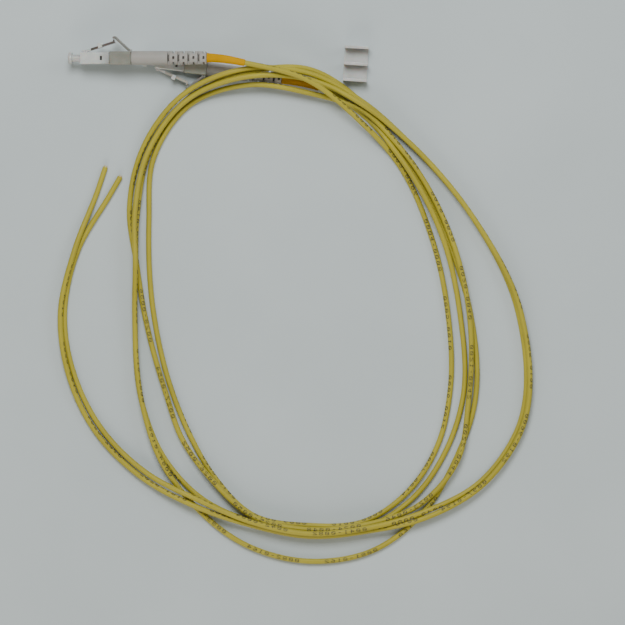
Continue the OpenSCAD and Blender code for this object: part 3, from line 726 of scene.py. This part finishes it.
print_tree = wrapped_print_tree()
for leg, line in LINES.items():
    printed = length_of(line) - CUT_LENGTH
    groups = int((printed - PRINT_START) / GROUP_PITCH)
    places = []
    for i in range(groups):
        # A group is the count and its double
        count = COUNT_START[leg] + i
        places += dots_of(leg, f"{count:04d}-{2 * count:04d}", PRINT_START + i * GROUP_PITCH)
    path_holder = line_object("line_" + leg, line)
    mesh = grown_mesh("printed_count_" + leg, points_mesh("dots", places), print_tree,
                      Cord_line=path_holder, Radius=CORD_D / 2 + INK_RAISE,
                      Dot_length=DOT_LENGTH, Dot_width=DOT_WIDTH, Ink=INK)
    bpy.data.objects.remove(path_holder)
    settle(make_object("printed_count_" + leg, mesh, INK), ROOT, "cord_jacket")

# ---- Sleeves ------------------------------------------------------------------

SLEEVE_D = 3.6 * MM
SLEEVE_END_D = 2.6 * MM
SLEEVE_BORE_D = 2.02 * MM
SLEEVE_GAP = 0.02 * MM
SLEEVE_SIDES = 32
SLEEVE_RINGS = 16
WAIST_DEPTH = 0.06 * MM
# Both ends are rounded by this, over this share of a step
SLEEVE_EDGE = 0.12 * MM
EDGE_SHARE = 0.1


def stretch_of(line, start, reach, count):
    """Evenly spaced points of a line from one distance along it, for a reach."""
    points, run, i = [], 0.0, 0
    for k in range(count + 1):
        along = start + reach * k / count
        while run + (line[i + 1] - line[i]).length < along:
            run += (line[i + 1] - line[i]).length
            i += 1
        step = line[i + 1] - line[i]
        points.append(line[i] + step * ((along - run) / step.length))
    return points


def sleeve_radius(share):
    """A swell behind the boot, then a slow taper with one shallow waist."""
    eased = share ** 0.8
    waist = WAIST_DEPTH * math.sin(1.5 * TURN * share)
    return (SLEEVE_D + (SLEEVE_END_D - SLEEVE_D) * eased) / 2 - waist * (1 - share)


def sleeve_reach(leg):
    """How far a sleeve goes along its cord, from the boot through its route's points."""
    boot_end = PLUGS[leg] @ (BOOT_END * PLUG_AXIS)
    return length_of([boot_end] + [Vector(p) * MM for p in SLEEVE_ROUTE[leg]])


for leg, line in LINES.items():
    points = stretch_of(line, BOOT_END - JACKET_START + SLEEVE_GAP, sleeve_reach(leg),
                        SLEEVE_RINGS)
    last = SLEEVE_RINGS
    radii = [sleeve_radius(i / last) for i in range(last + 1)]
    front = points[0].lerp(points[1], EDGE_SHARE)
    back = points[last].lerp(points[last - 1], EDGE_SHARE)
    points = [points[0], front] + points[1:last] + [back, points[last]]
    radii = ([radii[0] - SLEEVE_EDGE, radii[0]] + radii[1:last]
             + [radii[last], radii[last] - SLEEVE_EDGE])
    tube = swept_pipe(points, radii, SLEEVE_BORE_D / 2, SLEEVE_SIDES)
    sleeve = make_object("sleeve_smooth_" + leg, tube, SLEEVE, 50.0)
    settle(sleeve, ROOT, "sleeve_rubber", "sleeve_" + leg)

# ---- Moulded and turned pieces: the solids with their edges rounded --------------

# Points of a solid that are closer than this are one
MERGE = 0.0005 * MM
# Short edges that a split leaves are closed up to this
WELD = 0.03 * MM
# Faces that turn by fewer degrees than the first are one, and edges that turn by more
# than a crease are rounded
FLAT = 1.0
CREASE = 28.0
# Edges of a rounded piece that turn by more degrees than this stay crisp
CRISP = 50.0
# How far the shading of a corner goes with its largest face
LARGEST_FACE = 100


def merged_copy(node, reshape, split):
    """A solid's mesh with whole faces. reshape moves its points first, and split parts its
    faces at (point, way)."""
    bm = bmesh.new()
    bm.from_mesh(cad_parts[node].data)
    bmesh.ops.remove_doubles(bm, verts=bm.verts, dist=MERGE)
    if reshape:
        reshape(bm)
    bmesh.ops.dissolve_limit(bm, angle_limit=math.radians(FLAT), verts=bm.verts,
                             edges=bm.edges, use_dissolve_boundaries=False)
    if split:
        bmesh.ops.bisect_plane(bm, geom=bm.verts[:] + bm.edges[:] + bm.faces[:],
                               plane_co=split[0], plane_no=split[1])
        bmesh.ops.remove_doubles(bm, verts=bm.verts, dist=WELD)
    return bm


def mark_edges(bm, over):
    """Picks the sharp edges that are longer than this for the rounding."""
    weight = bm.edges.layers.float.new("bevel_weight_edge")
    for edge in bm.edges:
        if edge.calc_length() > over and edge.calc_face_angle(0.0) > math.radians(CREASE):
            edge[weight] = 1.0


def apply_modifiers(piece):
    """Puts what the modifiers make in the place of the piece's own mesh."""
    mesh = evaluated_mesh(piece)
    piece.modifiers.clear()
    piece.data = mesh
    mesh.name = piece.name


def tint_faces(mesh, place, test, material):
    """Gives a material to the faces whose centre and facing, in that place, pass a test."""
    mesh.materials.append(material)
    into_plug = place.inverted()
    for face in mesh.polygons:
        face.material_index = int(test(into_plug @ face.center,
                                       into_plug.to_3x3() @ face.normal))


def softened(node, name, body, slot, material, width, segments=2, reshape=None, split=None,
             tint=None, over=None):
    """A copy of a solid whose sharp edges are rounded, which stands for it. For reshape and
    split see merged_copy; tint holds what tint_faces takes after the mesh. With over, only
    edges longer than that are rounded, but to the full width; without it the shortest edge
    of the solid says how wide the rounding can be."""
    bm = merged_copy(node, reshape, split)
    if over is not None:
        mark_edges(bm, over)
    piece = make_object(name, bm, material, CREASE)
    rounding = piece.modifiers.new("rounding", "BEVEL")
    rounding.width = width
    rounding.segments = segments
    rounding.limit_method = "ANGLE" if over is None else "WEIGHT"
    rounding.angle_limit = math.radians(CREASE)
    rounding.miter_outer = "MITER_ARC"
    rounding.use_clamp_overlap = over is None
    apply_modifiers(piece)
    piece.data.shade_smooth()
    piece.data.set_sharp_from_angle(angle=math.radians(CRISP))
    # Large faces stay flat beside their rounded edges
    flatness = piece.modifiers.new("flatness", "WEIGHTED_NORMAL")
    flatness.mode = "FACE_AREA"
    flatness.weight = LARGEST_FACE
    flatness.keep_sharp = True
    apply_modifiers(piece)
    if tint:
        tint_faces(piece.data, *tint)
    return settle(piece, body, slot, node)


NOSE_LENGTH = 11.1 * MM
SEAM = 0.28 * MM
# The neck of the rear housing goes into the nose, and its snap tabs into two windows
NECK_HALF = 1.65 * MM
WINDOW_MIDDLE = 8.1 * MM
WINDOW_REACH = 1.2 * MM
TAB_REACH = 0.5 * MM
TAB_SINK = 0.1 * MM
# A point lies in a plane of the plug if it is as near as this, and is a tab's if it
# stands out of the neck by more than this
NEAR = 0.01 * MM
PROUD = 0.05 * MM
# A thin arm of clear plastic gets painted shade on its side faces from this x on, between
# these distances from its middle, and not on its lugs
EDGE_FROM = 4.2 * MM
ARM_EDGE = (1.2 * MM, 1.6 * MM)
SIDEWAYS = 0.9
# The floor of the boot's slots lies between these distances from its axis
SLOT_FLOOR = (1.3 * MM, 1.7 * MM)


def rear_shell_reshape(place):
    """Opens the seam behind the nose and draws in the two snap tabs under their windows."""
    into_plug = place.inverted()

    def reshape(bm):
        for vert in bm.verts:
            at = into_plug @ vert.co
            if abs(at.x - NOSE_LENGTH) < NEAR:
                at.x += SEAM
            if abs(at.x - WINDOW_MIDDLE) < TAB_REACH and abs(at.z) > NECK_HALF + PROUD:
                at.z = math.copysign(NECK_HALF + TAB_SINK, at.z)
            vert.co = place @ at
    return reshape


# Tests of a face's centre and facing in its plug, for tint_faces

def in_window(at, facing):
    return (abs(at.x - WINDOW_MIDDLE) < WINDOW_REACH
            and NECK_HALF + 0.5 * TAB_SINK < abs(at.z) < NECK_HALF + 2 * TAB_SINK)


def on_latch_painted_edge(at, facing):
    return (abs(facing.z) > SIDEWAYS and at.x > EDGE_FROM
            and ARM_EDGE[0] < abs(at.z) < ARM_EDGE[1])


def on_trigger_painted_edge(at, facing):
    return abs(facing.z) > SIDEWAYS


def in_slot(at, facing):
    return SLOT_FLOOR[0] < math.hypot(at.y, at.z) < SLOT_FLOOR[1]


# How wide the edges of each piece are rounded
NOSE_ROUND = 0.1 * MM
NOSE_LONG_EDGE = 1.0 * MM
LATCH_ROUND = 0.08 * MM
BODY_ROUND = 0.12 * MM
BOOT_ROUND = 0.1 * MM
CAP_ROUND = 0.14 * MM
FERRULE_ROUND = 0.04 * MM
FLANGE_ROUND = 0.05 * MM
METAL_ROUND = 0.06 * MM
BUFFER_ROUND = 0.05 * MM
CLIP_ROUND = 0.18 * MM

for leg, place in PLUGS.items():
    edge_start = (place @ (EDGE_FROM * PLUG_AXIS), place.to_3x3() @ PLUG_AXIS)
    softened("front_housing_" + leg, "nose_shell_" + leg, ROOT, "nose_plastic",
             NOSE_WALL_WITH_PAINTED_SHADE[leg], NOSE_ROUND, over=NOSE_LONG_EDGE)
    softened("latch_" + leg, "latch_arm_" + leg, "latch_" + leg, "nose_plastic", NOSE,
             LATCH_ROUND, over=0.0, split=edge_start,
             tint=(place, on_latch_painted_edge, LATCH_EDGE_SHADES[leg]))
    softened("rear_housing_" + leg, "rear_shell_" + leg, ROOT, "body_plastic", BODIES[leg],
             BODY_ROUND, reshape=rear_shell_reshape(place),
             tint=(place, in_window, WINDOW_SHADES[leg]))
    softened("trigger_" + leg, "trigger_arm_" + leg, "trigger_" + leg, "body_plastic", BODY,
             BODY_ROUND, tint=(place, on_trigger_painted_edge, BODY_EDGE_SHADE))
    softened("boot_" + leg, "boot_slotted_" + leg, ROOT, "boot_rubber", BOOT, BOOT_ROUND,
             tint=(place, in_slot, SLOT_SHADE))
    softened("dust_cap_" + leg, "cap_turned_" + leg, "dust_cap_" + leg, "cap_plastic", CAP,
             CAP_ROUND)
    softened("ferrule_" + leg, "ferrule_ground_" + leg, "ferrule_" + leg, "zirconia",
             ZIRCONIA, FERRULE_ROUND)
    softened("crimp_ring_" + leg, "crimp_band_" + leg, ROOT, "crimp_metal", CRIMP,
             METAL_ROUND)
    softened("backbone_" + leg, "backbone_turned_" + leg, ROOT, "backbone_metal", BACKBONE,
             METAL_ROUND)
    softened("ferrule_flange_" + leg, "flange_turned_" + leg, "ferrule_" + leg, "nickel",
             NICKEL, FLANGE_ROUND)
softened("duplex_clip", "clip_moulded", "duplex_clip", "clip_plastic", CLIP, CLIP_ROUND,
         segments=3)

# ---- Springs ------------------------------------------------------------------

SPRING_D = 2.3 * MM
SPRING_WIRE = 0.35 * MM
SPRING_TURNS = 7
SPRING_FROM = 4.8 * MM
SPRING_TO = 11.8 * MM
TURN_STEPS = 24
WIRE_SIDES = 8


def spring_line(place):
    """The line of a wound spring, from its front coil to its back one."""
    line = []
    for i in range(SPRING_TURNS * TURN_STEPS + 1):
        share = i / (SPRING_TURNS * TURN_STEPS)
        angle = TURN * i / TURN_STEPS
        x = SPRING_FROM + SPRING_WIRE + share * (SPRING_TO - SPRING_FROM - 2 * SPRING_WIRE)
        line.append(place @ Vector((x, SPRING_D / 2 * math.cos(angle),
                                    SPRING_D / 2 * math.sin(angle))))
    return line


def wire_tube(line, radius, sides):
    """A solid round wire along a line, closed with one face at each end."""
    bm = bmesh.new()
    rings = []
    rise = None
    for i, centre in enumerate(line):
        way = way_at(line, i)
        # Each ring starts from the last one's rise, so that the wire doesn't twist
        rise = way.orthogonal() if rise is None else rise - way * rise.dot(way)
        rise.normalize()
        rings.append([bm.verts.new(point) for point in
                      round_points(centre, radius, rise, way.cross(rise), sides)])
    for first, second in zip(rings[:-1], rings[1:]):
        for k in range(sides):
            n = (k + 1) % sides
            bm.faces.new([first[k], first[n], second[n], second[k]])
    bm.faces.new(list(reversed(rings[0])))
    bm.faces.new(rings[-1])
    bmesh.ops.recalc_face_normals(bm, faces=bm.faces)
    return bm


for leg, place in PLUGS.items():
    wire = wire_tube(spring_line(place), SPRING_WIRE / 2, WIRE_SIDES)
    spring = make_object("spring_wound_" + leg, wire, STEEL, 60.0)
    settle(spring, ROOT, "steel", "spring_" + leg)

# ---- Cut ends: buffer and yarn --------------------------------------------------


def yarn_tree():
    """A brush of tapered strands, one at each point, that lean a little every way."""
    tree = bpy.data.node_groups.new("yarn strands", "GeometryNodeTree")
    given, out = tree_inputs(tree, Strand_radius="Float", Strand_length="Float",
                             Way="Vector", Lean="Float", Seed="Int", Yarn="Material")
    points = joined(tree, "GeometryNodeMeshToPoints", Mesh=given["Geometry"])
    strand = joined(tree, "GeometryNodeMeshCone", Vertices=5, Side_Segments=2,
                    Radius_Top=math_node(tree, "MULTIPLY", given["Strand radius"], 0.5),
                    Radius_Bottom=given["Strand radius"], Depth=given["Strand length"])
    upright = joined(tree, "FunctionNodeAlignRotationToVector", {"axis": "Z"},
                     Vector=given["Way"])
    lean_low = vector_node(tree, "SCALE", (-1.0, -1.0, -1.0), scale=given["Lean"])
    lean_high = vector_node(tree, "SCALE", (1.0, 1.0, 1.0), scale=given["Lean"])
    lean = joined(tree, "FunctionNodeRandomValue", {"data_type": "FLOAT_VECTOR"},
                  Seed=given["Seed"])
    tree.links.new(lean_low, lean.inputs[0])
    tree.links.new(lean_high, lean.inputs[1])
    leaned = joined(tree, "FunctionNodeRotateRotation", Rotation=upright.outputs[0])
    as_rotation = joined(tree, "FunctionNodeEulerToRotation", _0=lean.outputs[0])
    tree.links.new(as_rotation.outputs[0], leaned.inputs["Rotate By"])
    brush = joined(tree, "GeometryNodeInstanceOnPoints", Points=points.outputs[0],
                   Instance=strand.outputs["Mesh"], Rotation=leaned.outputs[0])
    real = joined(tree, "GeometryNodeRealizeInstances", Geometry=brush.outputs[0])
    dressed = joined(tree, "GeometryNodeSetMaterial", Geometry=real.outputs[0],
                     Material=given["Yarn"])
    tree.links.new(dressed.outputs[0], out["Geometry"])
    return tree


# Rings of strands round the buffer, as (radius, how many)
YARN_RINGS = [(0.52 * MM, 13), (0.60 * MM, 15), (0.68 * MM, 17)]
STRAND_RADIUS = 0.034 * MM
STRAND_LENGTH = 1.7 * MM
STRAND_LEAN = 0.025
# How far the middle of a strand lies behind the tip, and how much that and its place
# round the buffer, in radians, vary
STRAND_BACK = 0.95 * MM
BACK_SPREAD = 0.35
ROUND_SPREAD = 0.12
YARN_SEED = 3
strands = yarn_tree()
dice = random.Random(7)
for leg in "ab":
    way = CUT_WAY[leg]
    across = way.cross(UP)
    tip = CUT_AT[leg] + way * CUT_LENGTH
    roots = []
    for radius, count in YARN_RINGS:
        for k in range(count):
            angle = TURN * k / count + dice.uniform(-ROUND_SPREAD, ROUND_SPREAD)
            back = STRAND_BACK + dice.uniform(0.0, BACK_SPREAD) * MM
            roots.append(tip - way * back
                         + radius * (across * math.cos(angle) + UP * math.sin(angle)))
    mesh = grown_mesh("yarn_strands_" + leg, points_mesh("roots", roots), strands,
                      Strand_radius=STRAND_RADIUS, Strand_length=STRAND_LENGTH,
                      Way=way, Lean=STRAND_LEAN, Seed=YARN_SEED, Yarn=YARN)
    settle(make_object("yarn_strands_" + leg, mesh, YARN), ROOT, "aramid_yarn",
           "yarn_end_" + leg)
    softened("buffer_end_" + leg, "buffer_tip_" + leg, ROOT, "buffer_coat", BUFFER,
             BUFFER_ROUND)
    softened("buffer_" + leg, "buffer_core_" + leg, ROOT, "buffer_coat", BUFFER,
             BUFFER_ROUND)

# ---- Floor and light ------------------------------------------------------------

FLOOR_HALF = 3.0
bm = bmesh.new()
bmesh.ops.create_grid(bm, x_segments=2, y_segments=2, size=FLOOR_HALF)
floor = make_object("floor", bm, floor_material())


def soft_light(name, place, aim, size, power, colour=(1.0, 1.0, 1.0)):
    """A round lamp that faces a point. Its size is in metres and its power in watts."""
    lamp = bpy.data.lights.new(name, "AREA")
    lamp.shape = "DISK"
    lamp.size = size
    lamp.energy = power
    lamp.color = colour
    holder = bpy.data.objects.new(name, lamp)
    holder.location = place
    holder.rotation_mode = "QUATERNION"
    holder.rotation_quaternion = (Vector(aim) - Vector(place)).to_track_quat("-Z", "Y")
    scene.collection.objects.link(holder)


# The soft light of a white room, with a window behind the plugs
MIDDLE = (0.035, -0.09, 0.0)
ROOM_COLOUR = (0.90, 0.82, 0.71, 1.0)
ROOM_STRENGTH = 0.355
soft_light("window_light", (-0.08, 0.48, 0.95), MIDDLE, 0.55, 9.7)
soft_light("right_light", (0.75, 0.3, 0.6), MIDDLE, 0.5, 1.8)
soft_light("low_fill", (-0.15, -0.85, 0.34), MIDDLE, 0.6, 3.6, (1.0, 0.94, 0.84))
world = bpy.data.worlds.new("studio")
world.use_nodes = True
room = world.node_tree.nodes["Background"]
room.inputs["Color"].default_value = ROOM_COLOUR
room.inputs["Strength"].default_value = ROOM_STRENGTH
scene.world = world
